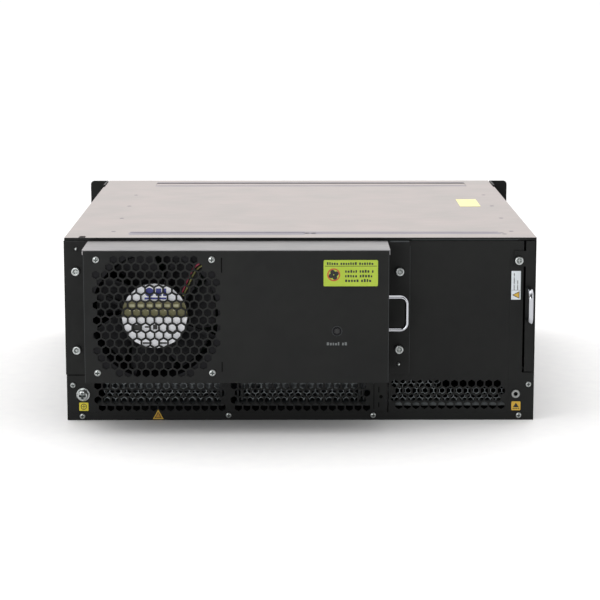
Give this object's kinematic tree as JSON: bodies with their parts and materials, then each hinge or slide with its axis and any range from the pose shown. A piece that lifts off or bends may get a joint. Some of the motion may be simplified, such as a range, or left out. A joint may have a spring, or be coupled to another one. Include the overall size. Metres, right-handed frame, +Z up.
{
  "type": "modular chassis switch",
  "caption": "Rack-mount modular network chassis with a slide-out fan tray at the rear, honeycomb outlets, a side air filter and front modules.",
  "frame": {"origin": "centre of the body's underside, between the side walls and between the front and rear planes of the body", "axes": "+Z up, rear with the fan tray towards -Y, front modules towards +Y, +X to the right when looking at the rear"},
  "size_m": [0.4826, 0.5126, 0.1752],
  "materials": {
    "black_paint": "fine satin powder coat",
    "cover_steel": "warm grey galvanised sheet",
    "bare_steel": "galvanised sheet",
    "zinc_screw": "bright zinc",
    "black_screw": "black oxide",
    "chrome_bar": "polished",
    "black_plastic": "moulded",
    "circuit_board": "green solder mask",
    "card_face": "satin",
    "filter_foam": "open-cell foam",
    "lens": "dark lens",
    "green_yellow_label": "vinyl",
    "pale_yellow_label": "vinyl",
    "white_label": "vinyl",
    "amber_label": "vinyl",
    "red_wire": "insulated wire",
    "black_wire": "insulated wire"
  },
  "bodies": {
    "chassis": {"base_pan": "black_paint", "side_wall_left": "black_paint", "side_wall_right": "black_paint", "top_cover": "cover_steel", "rear_header": "black_paint", "rear_jamb": "black_paint", "rear_vent_panel": "black_paint", "rear_side_panel": "black_paint", "rear_side_strip": "black_paint", "wrist_strap_jack": "zinc_screw", "ground_screw": "zinc_screw", "locating_pins": "zinc_screw", "panel_screws": "zinc_screw", "rack_ear_left": "black_paint", "rack_ear_right": "black_paint", "ear_screws": "black_screw", "shelf": "bare_steel", "bay_walls": "bare_steel", "cage_walls": "bare_steel", "card_guides": "black_plastic", "backplane_board": "circuit_board", "backplane_connectors": "black_plastic", "front_jambs": "black_paint", "filter_guides": "bare_steel", "power_bay_cover": "black_paint", "cover_label": "pale_yellow_label", "side_label": "white_label", "panel_labels": "amber_label", "triangle_label": "amber_label"},
    "fan_tray": {"tray_flange": "black_paint", "tray_box": "black_paint", "tray_front": "black_paint", "tray_lid": "bare_steel", "tray_handle": "chrome_bar", "control_board": "circuit_board", "status_lens": "lens", "tray_plug": "black_plastic", "fan_frame": "black_plastic", "motor_label": "white_label", "fan_screws": "zinc_screw", "fan_lead_red": "red_wire", "fan_lead_black": "black_wire", "tray_label": "green_yellow_label"},
    "fan_rotor": {"fan_rotor": "black_plastic"},
    "captive_screw_upper_left": {"captive_screw_upper_left": "zinc_screw"},
    "captive_screw_lower_left": {"captive_screw_lower_left": "zinc_screw"},
    "captive_screw_upper_right": {"captive_screw_upper_right": "zinc_screw"},
    "captive_screw_lower_right": {"captive_screw_lower_right": "zinc_screw"},
    "air_filter": {"filter_front": "black_paint", "filter_frame": "bare_steel", "filter_media": "filter_foam", "filter_handle": "chrome_bar"},
    "filter_screw": {"filter_screw": "zinc_screw"},
    "control_unit_left": {"control_unit_left": "card_face"},
    "control_unit_right": {"control_unit_right": "card_face"},
    "line_card_1": {"line_card_1": "card_face"},
    "line_card_2": {"line_card_2": "card_face"},
    "line_card_3": {"line_card_3": "card_face"},
    "power_module_left": {"power_module_left": "bare_steel"},
    "power_module_right": {"power_module_right": "bare_steel"}
  },
  "joints": [
    {"name": "fan_tray_slide", "type": "slide", "parent": "chassis", "child": "fan_tray", "axis": [0, -1, 0], "range_m": [0, 0.12]},
    {"name": "fan_spin", "type": "hinge", "parent": "fan_tray", "child": "fan_rotor", "pos_m": [-0.1334, -0.251, 0.1111], "axis": [0, 1, 0], "continuous": true},
    {"name": "filter_slide", "type": "slide", "parent": "chassis", "child": "air_filter", "axis": [0, -1, 0], "range_m": [0, 0.366]},
    {"name": "filter_screw_turn", "type": "hinge", "parent": "air_filter", "child": "filter_screw", "pos_m": [0.2045, -0.2199, 0.1539], "axis": [0, 1, 0], "continuous": true},
    {"name": "captive_screw_upper_left_turn", "type": "hinge", "parent": "fan_tray", "child": "captive_screw_upper_left", "pos_m": [-0.2103, -0.2205, 0.1439], "axis": [0, 1, 0], "continuous": true},
    {"name": "captive_screw_lower_left_turn", "type": "hinge", "parent": "fan_tray", "child": "captive_screw_lower_left", "pos_m": [-0.2105, -0.2205, 0.0687], "axis": [0, 1, 0], "continuous": true},
    {"name": "captive_screw_upper_right_turn", "type": "hinge", "parent": "fan_tray", "child": "captive_screw_upper_right", "pos_m": [0.093, -0.2205, 0.1435], "axis": [0, 1, 0], "continuous": true},
    {"name": "captive_screw_lower_right_turn", "type": "hinge", "parent": "fan_tray", "child": "captive_screw_lower_right", "pos_m": [0.0928, -0.2205, 0.0692], "axis": [0, 1, 0], "continuous": true},
    {"name": "control_unit_left_slide", "type": "slide", "parent": "chassis", "child": "control_unit_left", "axis": [0, 1, 0], "range_m": [0, 0.321]},
    {"name": "control_unit_right_slide", "type": "slide", "parent": "chassis", "child": "control_unit_right", "axis": [0, 1, 0], "range_m": [0, 0.321]},
    {"name": "line_card_1_slide", "type": "slide", "parent": "chassis", "child": "line_card_1", "axis": [0, 1, 0], "range_m": [0, 0.321]},
    {"name": "line_card_2_slide", "type": "slide", "parent": "chassis", "child": "line_card_2", "axis": [0, 1, 0], "range_m": [0, 0.321]},
    {"name": "line_card_3_slide", "type": "slide", "parent": "chassis", "child": "line_card_3", "axis": [0, 1, 0], "range_m": [0, 0.321]},
    {"name": "power_module_left_slide", "type": "slide", "parent": "chassis", "child": "power_module_left", "axis": [0, 1, 0], "range_m": [0, 0.321]},
    {"name": "power_module_right_slide", "type": "slide", "parent": "chassis", "child": "power_module_right", "axis": [0, 1, 0], "range_m": [0, 0.321]}
  ]
}
